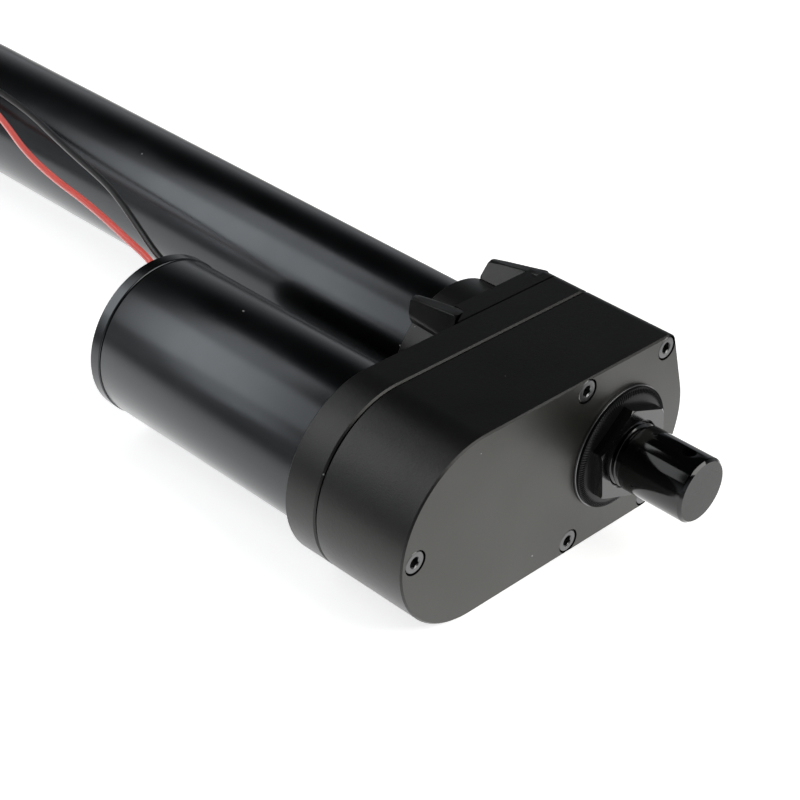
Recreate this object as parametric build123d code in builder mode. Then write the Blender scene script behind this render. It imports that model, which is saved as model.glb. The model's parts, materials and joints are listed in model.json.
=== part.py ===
"""Electric linear actuator: gearbox, motor, screw drive, tube and rod.

The frame: the rear mounting hole's axis meets the stud's axis at the origin. +Y runs forward
along the stroke, the motor lies beside the tube on the -X side, and +Z is up. Millimetres.
"""
from build123d import *
from math import acos, cos, pi, radians, sin, sqrt, tan
import os

os.makedirs("parts", exist_ok=True)

# Stroke and screw
stroke = 250.0
screw_share = 0.7

# Rear stud
stud_radius = 10.0
stud_tip = 6.0
stud_chamfer = 0.8
stud_smooth_end = 16.0
stud_thread_radius = 9.8
stud_head_radius = 12.8
stud_head_height = 3.2
pin_hole_radius = 2.0
mount_to_housing = 24.0

# Lock nut and its washer
washer_radius = 19.1
washer_thickness = 0.8
flange_radius = 18.8
flange_rim = 1.3
flange_cone = 0.4
nut_width = 27.0
nut_height = 3.7
nut_corner_cut = 0.7
nut_turn = 40.0

# Gear teeth
pressure_angle = 25.0
backlash = 0.12
motor_module = 1.0
motor_teeth = 12
idler_large_teeth = 42
screw_module = 1.25
idler_small_teeth = 14
screw_gear_teeth = 37
face_difference = 1.0
pinion_overlap = 0.5
gear_gap = 1.0

# Gearbox
outline_half_height = 29.3
nose_radius = 29.2
corner_radius = 4.4
corner_x = 17.5
housing_depth = 31.6
housing_wall = 3.2
end_wall = 5.0
gasket_thickness = 0.4
gasket_inset = 0.9
base_thickness = 11.6
base_web = 5.0
edge_chamfer = 0.5
base_bevel = 0.6
pad_height = 3.0
pad_left = 22.8
pad_slant = 5.8
ledge_depth = 4.7
ledge_inset = 0.9
ledge_left = 15.5
collar_wall = 3.85
collar_length = 22.0
collar_chamfer = 0.4
ear_inner_x = 11.6
ear_ridge_x = 16.0
ear_outer_x = 20.2
ear_side_z = 19.8
ear_high_z = 28.9
ear_drop = 2.9
ear_draft = 1.7
ear_root = 16.0

# Housing screws
screw_column = 5.0
side_screw_x = 17.5
screw_land = 0.3
motor_screw_reach = 24.0
head_radius = 3.5
head_height = 4.0
head_recess = 0.2
head_gap = 0.3
shank_radius = 2.0
shank_hole_radius = 2.15
shank_grip = 8.5
hex_key = 3.0
hex_depth = 2.0

# Bearings on the screw
rear_journal_radius = 5.0
rear_bearing_radius = 13.0
rear_bearing_width = 8.0
rear_bearing_gap = 1.2
front_journal_radius = 7.5
front_bearing_radius = 16.0
front_bearing_width = 9.0
race_thickness = 2.2
ball_slack = 0.05
rear_balls = 8
front_balls = 11
seat_wall = 4.0
lip_width = 2.0
lip_radius = 14.0
screw_collar_radius = 9.5
screw_collar_width = 1.8
retainer_width = 1.0
retainer_radius = 16.6
retainer_bore = 13.4

# Idler shaft
idler_shaft_radius = 3.0
running_gap = 0.05
idler_boss_radius = 6.0
idler_boss_front = 2.0
shaft_sink = 4.0

# Motor
can_radius = 24.35
can_length = 82.5
can_wall = 2.0
can_front = 2.5
cap_gap = 0.3
cap_radius = 25.3
cap_width = 4.0
cap_spigot = 2.6
cap_boss_radius = 8.0
cap_boss_depth = 3.4
motor_shaft_radius = 3.2
motor_journal_radius = 2.5
bush_radius = 5.0
bush_length = 5.5
rear_bush_sink = 1.5
core_radius = 17.7
core_start = 20.4
rotor_end_gap = 1.0
core_slots = 12
slot_width = 2.0
slot_depth = 5.0
magnet_inner_radius = 18.3
magnet_overhang = 4.0
magnet_angle = 130.0
winding_length = 8.0
winding_radius = 16.0
winding_chamfer = 2.5
commutator_radius = 7.5
commutator_length = 7.0
commutator_gap = 1.0
commutator_bars = 12
bar_groove = 0.6
brush_size = 5.0
brush_height = 6.0
brush_reach = 14.0
holder_thickness = 2.0
motor_fixing_radius = 15.5
motor_screw_head_radius = 3.4
motor_screw_head = 2.6

# Tubes, nut and guides
tube_radius = 20.35
tube_wall = 2.3
nut_setback = 6.4
nut_flange_length = 14.0
nut_barrel_length = 20.0
slide_gap = 0.1
rod_share = 0.69252
rod_wall = 2.5
guide_length = 20.0
guide_gap = 0.05
stroke_margin = 2.0
cap_cover = 10.0
front_cap_rim = 2.45
front_cap_wall = 6.0
front_cap_gap = 0.4
wiper_width = 3.2
wiper_depth = 3.5
rod_out = 6.0
plug_length = 16.0
eye_neck = 14.0
eye_end = 13.0
eye_flats = 17.0
eye_bush_radius = 7.0
eye_bore_radius = 5.0
eye_bush_length = 18.0
screw_end_gap = 14.0

# Limit switches
rail_width = 10.0
rail_thickness = 1.0
rail_gap = 0.14
switch_width = 6.0
switch_length = 10.0
switch_height = 1.6
switch_gap = 0.3
rail_margin = 2.0

# Leads
lead_diameter = 2.2
grommet_radius = 3.2
grommet_flange_radius = 4.4
grommet_flange = 1.6
grommet_spread = 5.5
grommet_offset = 7.125
grommet_z = 16.0
lead_gap = 0.2
tip_radius = 0.75
tip_length = 7.0
tie_width = 3.6
tie_thickness = 1.0
tie_gap = 0.3
tie_setback = 34.0
tie_buckle = 3.5

# Places that follow from the sizes
motor_to_idler = motor_module * (motor_teeth + idler_large_teeth) / 2
idler_to_screw = screw_module * (idler_small_teeth + screw_gear_teeth) / 2
motor_x = -(motor_to_idler + idler_to_screw)
idler_x = -idler_to_screw
housing_back = mount_to_housing
cavity_back = housing_back + end_wall
housing_front = housing_back + housing_depth
base_back = housing_front + gasket_thickness
base_front = base_back + base_thickness
web_back = base_front - base_web
pad_front = base_front + pad_height
ledge_front = pad_front + ledge_depth
collar_front = base_front + collar_length
rear_bearing_back = cavity_back + stud_head_height + rear_bearing_gap
rear_bearing_front = rear_bearing_back + rear_bearing_width
screw_gear_back = rear_bearing_front + rear_bearing_gap
gear_room = web_back - idler_boss_front - gear_gap / 2 - screw_gear_back
large_face = (gear_room - gear_gap / 2 - face_difference) / 2
small_face = large_face + face_difference
screw_gear_front = screw_gear_back + small_face
large_gear_back = screw_gear_front + gear_gap / 2
large_gear_front = large_gear_back + large_face
front_bearing_back = web_back
front_bearing_front = front_bearing_back + front_bearing_width
tube_back = front_bearing_front + lip_width
can_front_face = base_front
can_back_face = can_front_face + can_length
cap_start = can_back_face + cap_gap
core_back = base_front + core_start
rotor_end = cap_start - cap_boss_depth - rotor_end_gap
core_front = rotor_end - commutator_length - commutator_gap - winding_length
core_length = core_front - core_back
cap_end = cap_start + cap_width
nut_back = tube_back + nut_setback
nut_front = nut_back + nut_flange_length
tube_inner = tube_radius - tube_wall
collar_radius = tube_radius + collar_wall
ear_low_z = sqrt(collar_radius**2 - ear_inner_x**2) + 0.06
rod_radius = rod_share * tube_inner
rod_inner = rod_radius - rod_wall
screw_radius = screw_share * rod_inner
rail_base = sqrt(tube_inner**2 - (rail_width / 2) ** 2) - rail_gap
rail_flat = rail_base - rail_thickness - switch_height - switch_gap
guide_back = nut_front + stroke + stroke_margin
tube_front = guide_back + guide_length
front_cap_back = tube_front - cap_cover
front_cap_front = tube_front + front_cap_wall
front_cap_radius = tube_radius + front_cap_rim
wiper_radius = rod_radius + wiper_depth
rod_front = front_cap_front + rod_out
eye_station = rod_front + eye_neck
plug_back = rod_front - plug_length
screw_front = plug_back - screw_end_gap
corner_z = outline_half_height - corner_radius
counterbore_radius = head_radius + head_gap
side_screw_z = outline_half_height - screw_land - counterbore_radius
screw_places = [
    (motor_x - motor_screw_reach, 0.0),
    (-side_screw_x, side_screw_z),
    (-side_screw_x, -side_screw_z),
    (side_screw_x, side_screw_z),
    (side_screw_x, -side_screw_z),
]
motor_axis = Axis((motor_x, 0, 0), (0, 1, 0))
idler_axis = Axis((idler_x, 0, 0), (0, 1, 0))


# Shapes used by several pieces
def station(y):
    """The plane across the stroke at y; its own x is X and its own y is Z."""
    return Plane.XZ.offset(-y)


def ring(y, outer, inner=0.0, x=0.0):
    """A disc or a ring on the station at y, about the axis at x."""
    with BuildSketch(station(y)) as face:
        with Locations((x, 0)):
            Circle(outer)
            if inner > 0:
                Circle(inner, mode=Mode.SUBTRACT)
    return face.sketch


def discs(y, radius, places):
    """Equal discs on the station at y."""
    with BuildSketch(station(y)) as face:
        with Locations(*places):
            Circle(radius)
    return face.sketch


def side_profile(points, x=0.0):
    """A closed outline of (y, radius) points in the plane through the axis at x, to be revolved."""
    with BuildSketch(Plane.YZ.offset(x)) as face:
        with BuildLine():
            Polyline(*points, close=True)
        make_face()
    return face.sketch


def gearbox_outline(y, inset=0.0):
    """The hull of the motor end, the nose round the tube and the two screw corners."""
    with BuildSketch(station(y)) as face:
        with BuildLine():
            CenterArc((motor_x, 0), outline_half_height - inset, 0, 360)
            CenterArc((0, 0), nose_radius - inset, 0, 360)
            CenterArc((corner_x, corner_z), corner_radius - inset, 0, 360)
            CenterArc((corner_x, -corner_z), corner_radius - inset, 0, 360)
        make_hull()
    return face.sketch


def columns(y):
    """Round columns that carry the housing screws; their outer sides end within the wall."""
    with BuildSketch(station(y)) as face:
        with Locations(*screw_places):
            Circle(screw_column)
        add(gearbox_outline(y, housing_wall / 2), mode=Mode.INTERSECT)
    return face.sketch


def involute(radius, base):
    """The involute's polar angle at a radius, in radians."""
    return sqrt((radius / base) ** 2 - 1) - acos(base / radius)


def tooth_side(teeth, module):
    """(radius, half angle) pairs up one side of a tooth, from the root to the tip."""
    pitch = module * teeth / 2
    base = pitch * cos(radians(pressure_angle))
    root = pitch - 1.25 * module
    tip = pitch + module
    start = max(base, root) * 1.0001
    at_pitch = (pi * module / 2 - backlash) / 2 / pitch + involute(pitch, base)
    steps = 3
    side = []
    for step in range(steps + 1):
        radius = start + (tip - start) * step / steps
        side.append((radius, at_pitch - involute(radius, base)))
    return [(root, side[0][1])] + side


def gear_face(y, teeth, module, x, turn=0.0):
    """The outline of a spur gear; a tooth points at the angle turn, in degrees from +X to +Z."""
    side = tooth_side(teeth, module)
    points = []
    for tooth in range(teeth):
        middle = radians(turn) + 2 * pi * tooth / teeth
        for radius, half in side:
            points.append((x + radius * cos(middle - half), radius * sin(middle - half)))
        for radius, half in reversed(side):
            points.append((x + radius * cos(middle + half), radius * sin(middle + half)))
    with BuildSketch(station(y)) as face:
        with BuildLine():
            Polyline(*points, close=True)
        make_face()
    return face.sketch


def half_pitch(teeth):
    """The turn that puts a gap where a tooth would be."""
    return 180.0 / teeth


# Rear stud: smooth pin, cross hole, threaded middle and a head inside the housing
head_front = cavity_back + stud_head_height
with BuildPart() as rear_stud:
    revolve(
        side_profile([
            (-stud_tip, 0),
            (-stud_tip, stud_radius - stud_chamfer),
            (-stud_tip + stud_chamfer, stud_radius),
            (stud_smooth_end, stud_radius),
            (stud_smooth_end, stud_thread_radius),
            (cavity_back, stud_thread_radius),
            (cavity_back, stud_head_radius),
            (head_front, stud_head_radius),
            (head_front, 0),
        ]),
        axis=Axis.Y,
    )
    with BuildSketch(Plane.XY):
        Circle(pin_hole_radius)
    extrude(amount=2 * stud_radius, both=True, mode=Mode.SUBTRACT)
rear_stud.part.label = "rear_stud"
export_step(rear_stud.part, "parts/rear_stud.step")

# Washer under the lock nut
with BuildPart() as stud_washer:
    extrude(ring(housing_back - washer_thickness, washer_radius, stud_thread_radius),
            amount=-washer_thickness)
stud_washer.part.label = "stud_washer"
export_step(stud_washer.part, "parts/stud_washer.step")

# Lock nut: knurled rim, cone and chamfered hexagon
rim_front = housing_back - washer_thickness
rim_back = rim_front - flange_rim
cone_back = rim_back - flange_cone
nut_back_face = rim_back - nut_height
hexagon_corner = nut_width / sqrt(3)
with BuildPart() as stud_lock_nut:
    with BuildSketch(station(nut_back_face)):
        RegularPolygon(hexagon_corner, 6, rotation=nut_turn)
    extrude(amount=-nut_height)
    chamfer_depth = nut_corner_cut * tan(radians(30))
    revolve(
        side_profile([
            (nut_back_face - 1, hexagon_corner - nut_corner_cut),
            (nut_back_face, hexagon_corner - nut_corner_cut),
            (nut_back_face + chamfer_depth, hexagon_corner),
            (nut_back_face + chamfer_depth, 2 * hexagon_corner),
            (nut_back_face - 1, 2 * hexagon_corner),
        ]),
        axis=Axis.Y,
        mode=Mode.SUBTRACT,
    )
    revolve(
        side_profile([
            (cone_back, 0),
            (cone_back, nut_width / 2),
            (rim_back, flange_radius - 0.5),
            (rim_back + 0.3, flange_radius),
            (rim_front, flange_radius),
            (rim_front, 0),
        ]),
        axis=Axis.Y,
    )
    extrude(ring(nut_back_face, stud_thread_radius), amount=-2 * nut_width, mode=Mode.SUBTRACT)
stud_lock_nut.part.label = "stud_lock_nut"
export_step(stud_lock_nut.part, "parts/stud_lock_nut.step")

# Gear housing: a deep shell with counterbored screws, a bearing seat and a shaft boss
head_seat = housing_back + head_recess + head_height
bearing_seat_radius = rear_bearing_radius + seat_wall
idler_boss_end = screw_gear_back - gear_gap
with BuildPart() as gear_housing:
    extrude(gearbox_outline(housing_back), amount=-housing_depth)
    chamfer(gear_housing.faces().sort_by(Axis.Y)[0].outer_wire().edges(), edge_chamfer)
    chamfer(gear_housing.faces().sort_by(Axis.Y)[-1].outer_wire().edges(), edge_chamfer)
    extrude(gearbox_outline(cavity_back, housing_wall), amount=-housing_depth,
            mode=Mode.SUBTRACT)
    extrude(columns(cavity_back), amount=-(housing_front - cavity_back))
    extrude(ring(cavity_back, bearing_seat_radius, rear_bearing_radius),
            amount=-(rear_bearing_front - cavity_back))
    extrude(ring(cavity_back, idler_boss_radius, 0, idler_x),
            amount=-(idler_boss_end - cavity_back))
    extrude(ring(cavity_back, idler_shaft_radius, 0, idler_x),
            amount=-housing_depth, mode=Mode.SUBTRACT)
    extrude(ring(housing_back, stud_thread_radius), amount=-end_wall, mode=Mode.SUBTRACT)
    extrude(discs(housing_back, counterbore_radius, screw_places),
            amount=-(head_seat - housing_back), mode=Mode.SUBTRACT)
    extrude(discs(housing_back, shank_hole_radius, screw_places),
            amount=-housing_depth, mode=Mode.SUBTRACT)
gear_housing.part.label = "gear_housing"
export_step(gear_housing.part, "parts/gear_housing.step")

# Gasket: a thin frame set back from the outline
with BuildPart() as housing_gasket:
    extrude(gearbox_outline(housing_front, gasket_inset), amount=-gasket_thickness)
    extrude(gearbox_outline(housing_front, housing_wall), amount=-gasket_thickness,
            mode=Mode.SUBTRACT)
    extrude(columns(housing_front), amount=-gasket_thickness)
    extrude(discs(housing_front, shank_hole_radius, screw_places), amount=-gasket_thickness,
            mode=Mode.SUBTRACT)
housing_gasket.part.label = "housing_gasket"
export_step(housing_gasket.part, "parts/housing_gasket.step")


# Gear base: plate, pad, ledge, collar and four tapered ears over the screws
def ear_section(y, drop, draft):
    """One ear's section at y; its top comes down and its outer side comes in towards the front."""
    with BuildSketch(station(y)) as face:
        with BuildLine():
            Polyline(
                (ear_inner_x, ear_low_z),
                (ear_ridge_x - drop / 6, ear_high_z - drop),
                (ear_outer_x - draft, ear_high_z - drop * 1.1),
                (ear_outer_x + 0.4 - draft, ear_side_z),
                (ear_root, ear_root - 1),
                close=True,
            )
        make_face()
    return face.sketch


with BuildPart() as pad:
    extrude(gearbox_outline(base_front), amount=-pad_height)
    with BuildSketch(Plane.XY):
        with BuildLine():
            Polyline(
                (-pad_left, base_front),
                (pad_slant - pad_left, pad_front),
                (2 * nose_radius, pad_front),
                (2 * nose_radius, base_front),
                close=True,
            )
        make_face()
    extrude(amount=2 * outline_half_height, both=True, mode=Mode.INTERSECT)

with BuildPart() as ledge:
    extrude(gearbox_outline(pad_front, ledge_inset), amount=-ledge_depth)
    with BuildSketch(Plane.XY):
        with Locations((nose_radius - ledge_left, ledge_front)):
            Rectangle(2 * nose_radius, 4 * ledge_depth)
    extrude(amount=2 * outline_half_height, both=True, mode=Mode.INTERSECT)

with BuildPart() as ears:
    loft([ear_section(pad_front, 0, 0), ear_section(collar_front, ear_drop, ear_draft)])
    mirror(about=Plane.YZ)
    mirror(about=Plane.XY)

motor_screw_places = [(motor_x, motor_fixing_radius), (motor_x, -motor_fixing_radius)]
with BuildPart() as gear_base:
    extrude(gearbox_outline(base_back), amount=-base_thickness)
    chamfer(gear_base.faces().sort_by(Axis.Y)[-1].outer_wire().edges(), base_bevel)
    chamfer(gear_base.faces().sort_by(Axis.Y)[0].outer_wire().edges(), edge_chamfer)
    add(pad.part)
    add(ledge.part)
    extrude(ring(base_front, collar_radius), amount=-collar_length)
    chamfer(gear_base.faces().sort_by(Axis.Y)[-1].outer_wire().edges(), collar_chamfer)
    add(ears.part)
    extrude(gearbox_outline(base_back, housing_wall), amount=-(web_back - base_back),
            mode=Mode.SUBTRACT)
    extrude(columns(base_back), amount=-(web_back - base_back))
    extrude(ring(web_back - idler_boss_front, idler_boss_radius, 0, idler_x),
            amount=-idler_boss_front)
    extrude(ring(base_back, idler_shaft_radius, 0, idler_x),
            amount=-(web_back + shaft_sink - base_back), mode=Mode.SUBTRACT)
    extrude(ring(front_bearing_back, front_bearing_radius), amount=-front_bearing_width,
            mode=Mode.SUBTRACT)
    extrude(ring(front_bearing_front, lip_radius), amount=-lip_width, mode=Mode.SUBTRACT)
    extrude(ring(tube_back, tube_radius), amount=-stroke, mode=Mode.SUBTRACT)
    extrude(ring(base_back, bush_radius, 0, motor_x), amount=-base_thickness,
            mode=Mode.SUBTRACT)
    extrude(discs(base_back, shank_hole_radius, motor_screw_places),
            amount=-base_thickness, mode=Mode.SUBTRACT)
    extrude(discs(base_back, shank_radius, screw_places),
            amount=-(shank_grip + 1), mode=Mode.SUBTRACT)
gear_base.part.label = "gear_base"
export_step(gear_base.part, "parts/gear_base.step")

# Five socket-head screws that hold the housing to the base
with BuildPart() as housing_screws:
    extrude(discs(head_seat - head_height, head_radius, screw_places), amount=-head_height)
    extrude(discs(head_seat, shank_radius, screw_places),
            amount=-(base_back + shank_grip - head_seat))
    with BuildSketch(station(head_seat - head_height)):
        with Locations(*screw_places):
            RegularPolygon(hex_key / sqrt(3), 6)
    extrude(amount=-hex_depth, mode=Mode.SUBTRACT)
housing_screws.part.label = "housing_screws"
export_step(housing_screws.part, "parts/housing_screws.step")


# Ball bearings: outer races fixed, inner races on the screw, balls between them
def ball_circle(y, inner_radius, outer_radius, count):
    """The places of a bearing's balls, and their radius."""
    middle = (inner_radius + outer_radius) / 2
    ball = (outer_radius - inner_radius) / 2 - race_thickness - ball_slack
    places = []
    for index in range(count):
        angle = 2 * pi * index / count
        places.append((middle * cos(angle), y, middle * sin(angle)))
    return places, ball


rear_ball_y = (rear_bearing_back + rear_bearing_front) / 2
front_ball_y = (front_bearing_back + front_bearing_front) / 2
with BuildPart() as bearing_outer_rings:
    extrude(ring(rear_bearing_back, rear_bearing_radius, rear_bearing_radius - race_thickness),
            amount=-rear_bearing_width)
    extrude(ring(front_bearing_back, front_bearing_radius,
                 front_bearing_radius - race_thickness), amount=-front_bearing_width)
bearing_outer_rings.part.label = "bearing_outer_rings"
export_step(bearing_outer_rings.part, "parts/bearing_outer_rings.step")

with BuildPart() as bearing_inner_rings:
    extrude(ring(rear_bearing_back, rear_journal_radius + race_thickness, rear_journal_radius),
            amount=-rear_bearing_width)
    extrude(ring(front_bearing_back, front_journal_radius + race_thickness,
                 front_journal_radius), amount=-front_bearing_width)
bearing_inner_rings.part.label = "bearing_inner_rings"
export_step(bearing_inner_rings.part, "parts/bearing_inner_rings.step")



def ball_solid(radius):
    """A ball with few faces: a cube with its edges cut back, inside the ball's own radius."""
    side = 1.6 * radius
    with BuildPart() as ball:
        Box(side, side, side)
        chamfer(ball.edges(), side * 0.29)
    return ball.part


rear_places, rear_ball = ball_circle(rear_ball_y, rear_journal_radius, rear_bearing_radius,
                                     rear_balls)
front_places, front_ball = ball_circle(front_ball_y, front_journal_radius,
                                       front_bearing_radius, front_balls)
with BuildPart() as bearing_balls:
    with Locations(*rear_places):
        add(ball_solid(rear_ball))
    with Locations(*front_places):
        add(ball_solid(front_ball))
bearing_balls.part.label = "bearing_balls"
export_step(bearing_balls.part, "parts/bearing_balls.step")

# Snap ring that keeps the front bearing in its seat
with BuildPart() as bearing_retainer:
    extrude(ring(web_back - retainer_width, retainer_radius, retainer_bore),
            amount=-retainer_width)
bearing_retainer.part.label = "bearing_retainer"
export_step(bearing_retainer.part, "parts/bearing_retainer.step")

# Lead screw: journals, gear seat, collar and the threaded length
with BuildPart() as lead_screw:
    revolve(
        side_profile([
            (rear_bearing_back, 0),
            (rear_bearing_back, rear_journal_radius),
            (rear_bearing_front, rear_journal_radius),
            (rear_bearing_front, front_journal_radius - 0.5),
            (screw_gear_back, front_journal_radius - 0.5),
            (screw_gear_back, front_journal_radius),
            (front_bearing_front, front_journal_radius),
            (front_bearing_front, screw_collar_radius),
            (front_bearing_front + screw_collar_width, screw_collar_radius),
            (front_bearing_front + screw_collar_width, screw_radius),
            (screw_front - 1, screw_radius),
            (screw_front, screw_radius - 1),
            (screw_front, 0),
        ]),
        axis=Axis.Y,
    )
lead_screw.part.label = "lead_screw"
export_step(lead_screw.part, "parts/lead_screw.step")

# Screw gear, with round windows in its web
window_circle = 15.0
window_radius = 3.6
with BuildPart() as screw_gear:
    extrude(gear_face(screw_gear_back, screw_gear_teeth, screw_module, 0.0), amount=-small_face)
    with BuildSketch(station(screw_gear_back)):
        Circle(front_journal_radius)
        with PolarLocations(window_circle, 6):
            Circle(window_radius)
    extrude(amount=-small_face, mode=Mode.SUBTRACT)
screw_gear.part.label = "screw_gear"
export_step(screw_gear.part, "parts/screw_gear.step")

# Idler: the large wheel from the motor and the small pinion to the screw, in one piece
idler_window_circle = 13.5
idler_window_radius = 3.2
with BuildPart() as idler_gears:
    extrude(gear_face(screw_gear_back - gear_gap / 2, idler_small_teeth, screw_module, idler_x),
            amount=-(large_gear_back - screw_gear_back + gear_gap / 2))
    extrude(gear_face(large_gear_back, idler_large_teeth, motor_module, idler_x,
                      half_pitch(idler_large_teeth)), amount=-large_face)
    with BuildSketch(station(screw_gear_back - gear_gap / 2)):
        with Locations((idler_x, 0)):
            Circle(idler_shaft_radius + running_gap)
            with PolarLocations(idler_window_circle, 6):
                Circle(idler_window_radius)
    extrude(amount=-2 * large_face - small_face, mode=Mode.SUBTRACT)
idler_gears.part.label = "idler_gears"
export_step(idler_gears.part, "parts/idler_gears.step")

# Idler shaft, held in the housing's boss and the base's web
with BuildPart() as idler_shaft:
    extrude(ring(cavity_back, idler_shaft_radius, 0, idler_x),
            amount=-(web_back + shaft_sink - cavity_back))
idler_shaft.part.label = "idler_shaft"
export_step(idler_shaft.part, "parts/idler_shaft.step")

# Motor pinion
with BuildPart() as motor_pinion:
    extrude(gear_face(large_gear_back - pinion_overlap, motor_teeth, motor_module, motor_x),
            amount=-(large_face + 2 * pinion_overlap))
    extrude(ring(large_gear_back - pinion_overlap, motor_journal_radius, 0, motor_x),
            amount=-2 * large_face, mode=Mode.SUBTRACT)
motor_pinion.part.label = "motor_pinion"
export_step(motor_pinion.part, "parts/motor_pinion.step")

# Motor shaft
front_bush_back = base_front - bush_length / 2
front_bush_front = base_front + can_front
rear_bush_front = cap_start + rear_bush_sink
rear_bush_back = cap_start - cap_boss_depth
with BuildPart() as motor_shaft:
    revolve(
        side_profile([
            (large_gear_back - 2 * pinion_overlap, 0),
            (large_gear_back - 2 * pinion_overlap, motor_journal_radius),
            (front_bush_front + 0.4, motor_journal_radius),
            (front_bush_front + 0.4, motor_shaft_radius),
            (rear_bush_back - 0.4, motor_shaft_radius),
            (rear_bush_back - 0.4, motor_journal_radius),
            (rear_bush_front - 0.4, motor_journal_radius),
            (rear_bush_front - 0.4, 0),
        ], motor_x),
        axis=motor_axis,
    )
motor_shaft.part.label = "motor_shaft"
export_step(motor_shaft.part, "parts/motor_shaft.step")

with BuildPart() as motor_bushes:
    extrude(ring(front_bush_back, bush_radius, motor_journal_radius + running_gap, motor_x),
            amount=-(front_bush_front - front_bush_back))
    extrude(ring(rear_bush_back, bush_radius, motor_journal_radius + running_gap, motor_x),
            amount=-(rear_bush_front - rear_bush_back))
motor_bushes.part.label = "motor_bushes"
export_step(motor_bushes.part, "parts/motor_bushes.step")

# Motor can, closed at the front
can_inner = can_radius - can_wall
with BuildPart() as motor_can:
    extrude(ring(can_front_face, can_radius, 0, motor_x), amount=-can_length)
    extrude(ring(can_front_face + can_front, can_inner, 0, motor_x), amount=-can_length,
            mode=Mode.SUBTRACT)
    extrude(ring(can_front_face, bush_radius, 0, motor_x), amount=-can_front,
            mode=Mode.SUBTRACT)
    extrude(discs(can_front_face, shank_radius, motor_screw_places), amount=-can_front,
            mode=Mode.SUBTRACT)
motor_can.part.label = "motor_can"
export_step(motor_can.part, "parts/motor_can.step")

# Screws from inside the base into the can
with BuildPart() as motor_screws:
    extrude(discs(web_back - motor_screw_head, motor_screw_head_radius, motor_screw_places),
            amount=-motor_screw_head)
    extrude(discs(web_back, shank_radius, motor_screw_places),
            amount=-(front_bush_front - web_back))
motor_screws.part.label = "motor_screws"
export_step(motor_screws.part, "parts/motor_screws.step")

# Motor end cap: rim, spigot in the can, bush boss and the opening for the leads
grommet_middle = motor_x + grommet_offset
grommet_places = [(grommet_middle - grommet_spread / 2, grommet_z),
                  (grommet_middle + grommet_spread / 2, grommet_z)]


def lead_slot(y, radius):
    """The rounded slot that both leads leave through."""
    with BuildSketch(station(y)) as face:
        with Locations((grommet_middle, grommet_z)):
            SlotCenterToCenter(grommet_spread, 2 * radius)
    return face.sketch


with BuildPart() as motor_end_cap:
    extrude(ring(cap_start, cap_radius, 0, motor_x), amount=-cap_width)
    chamfer(motor_end_cap.edges().filter_by(GeomType.CIRCLE), 0.3)
    extrude(ring(cap_start - cap_spigot, can_inner, can_inner - can_wall, motor_x),
            amount=-cap_spigot)
    extrude(ring(cap_start - cap_boss_depth, cap_boss_radius, 0, motor_x),
            amount=-cap_boss_depth)
    extrude(ring(rear_bush_back, bush_radius, 0, motor_x),
            amount=-(rear_bush_front - rear_bush_back), mode=Mode.SUBTRACT)
    extrude(lead_slot(cap_start, grommet_radius), amount=-cap_width, mode=Mode.SUBTRACT)
motor_end_cap.part.label = "motor_end_cap"
export_step(motor_end_cap.part, "parts/motor_end_cap.step")

# Magnets: two arcs inside the can
magnet_back = core_back - magnet_overhang
magnet_length = core_length + 2 * magnet_overhang
with BuildPart() as motor_magnets:
    with BuildSketch(station(magnet_back)):
        with Locations((motor_x, 0)):
            Circle(can_inner)
            Circle(magnet_inner_radius, mode=Mode.SUBTRACT)
            gap_angle = 180 - magnet_angle
            gap_height = 2 * can_inner * sin(radians(gap_angle / 2))
            Rectangle(3 * can_inner, gap_height, mode=Mode.SUBTRACT)
    extrude(amount=-magnet_length)
motor_magnets.part.label = "motor_magnets"
export_step(motor_magnets.part, "parts/motor_magnets.step")

# Slotted armature core
with BuildPart() as armature_core:
    with BuildSketch(station(core_back)):
        with Locations((motor_x, 0)):
            Circle(core_radius)
            with PolarLocations(core_radius, core_slots):
                Rectangle(2 * slot_depth, slot_width, mode=Mode.SUBTRACT)
            Circle(motor_shaft_radius, mode=Mode.SUBTRACT)
    extrude(amount=-core_length)
armature_core.part.label = "armature_core"
export_step(armature_core.part, "parts/armature_core.step")

# End turns of the windings, on both faces of the core
with BuildPart() as armature_windings:
    for back in (core_back - winding_length, core_front):
        extrude(ring(back, winding_radius, motor_shaft_radius, motor_x), amount=-winding_length)
    rims = armature_windings.edges().filter_by(GeomType.CIRCLE)
    outer_rims = rims.filter_by(lambda edge: edge.radius > winding_radius - 1)
    chamfer(outer_rims, winding_chamfer)
armature_windings.part.label = "armature_windings"
export_step(armature_windings.part, "parts/armature_windings.step")

# Commutator with grooves between its bars
commutator_back = core_front + winding_length + commutator_gap
with BuildPart() as commutator:
    with BuildSketch(station(commutator_back)):
        with Locations((motor_x, 0)):
            Circle(commutator_radius)
            Circle(motor_shaft_radius, mode=Mode.SUBTRACT)
            with PolarLocations(commutator_radius, commutator_bars):
                Rectangle(2 * bar_groove, bar_groove, mode=Mode.SUBTRACT)
    extrude(amount=-commutator_length)
commutator.part.label = "commutator"
export_step(commutator.part, "parts/commutator.step")

# Brushes and the plate that holds them
brush_y = commutator_back + commutator_length / 2
brush_start = commutator_radius + running_gap
brush_middle = (brush_start + brush_reach) / 2
holder_back = brush_y + brush_size / 2
with BuildPart() as brushes:
    for side in (-1, 1):
        with Locations((motor_x + side * brush_middle, brush_y, 0)):
            Box(brush_reach - brush_start, brush_size, brush_height)
brushes.part.label = "brushes"
export_step(brushes.part, "parts/brushes.step")

with BuildPart() as brush_holder:
    extrude(ring(holder_back, can_inner, commutator_radius + 1, motor_x),
            amount=-holder_thickness)
    for side in (-1, 1):
        with Locations((motor_x + side * (brush_reach + 1), brush_y, 0)):
            Box(2, brush_size, brush_height + 2)
brush_holder.part.label = "brush_holder"
export_step(brush_holder.part, "parts/brush_holder.step")

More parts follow.
